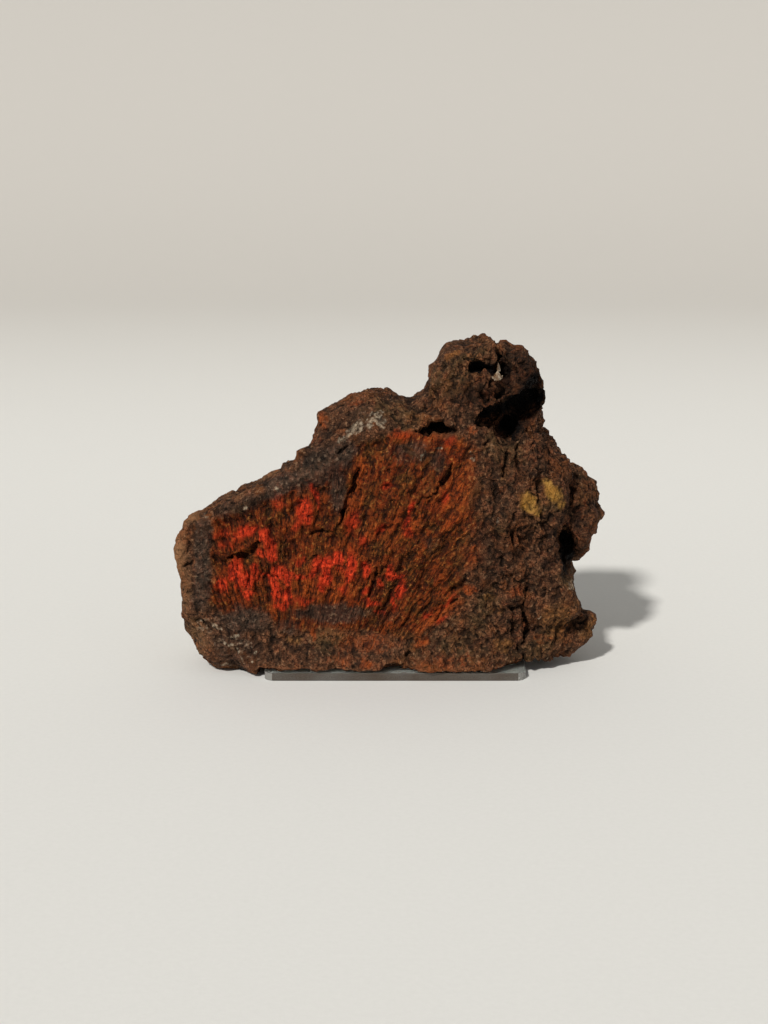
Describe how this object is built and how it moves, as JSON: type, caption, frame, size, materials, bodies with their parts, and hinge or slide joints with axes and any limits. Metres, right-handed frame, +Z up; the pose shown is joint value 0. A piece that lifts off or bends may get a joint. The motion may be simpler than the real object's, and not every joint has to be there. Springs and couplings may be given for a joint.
{
  "type": "cinnabar on matrix specimen on a display plate",
  "caption": "Hand-sized rusty rock with a broken front face of fibrous red cinnabar and a knob at the top, resting on a clear display plate.",
  "frame": {"origin": "centre of the display plate's underside", "axes": "+Z up, +X along the rock's length to the right, the broken cinnabar face looks along -Y"},
  "size_m": [0.1101, 0.0513, 0.0852],
  "materials": {
    "rock": "rough, granular, dark rusty brown with bright red and orange fibrous cinnabar on the front face",
    "crystal": "small milky clear crystals",
    "acrylic": "polished clear acrylic"
  },
  "bodies": {
    "root": {"cinnabar_rock": "rock", "hollow_crystals": "crystal", "display_plate": "acrylic"}
  },
  "joints": []
}
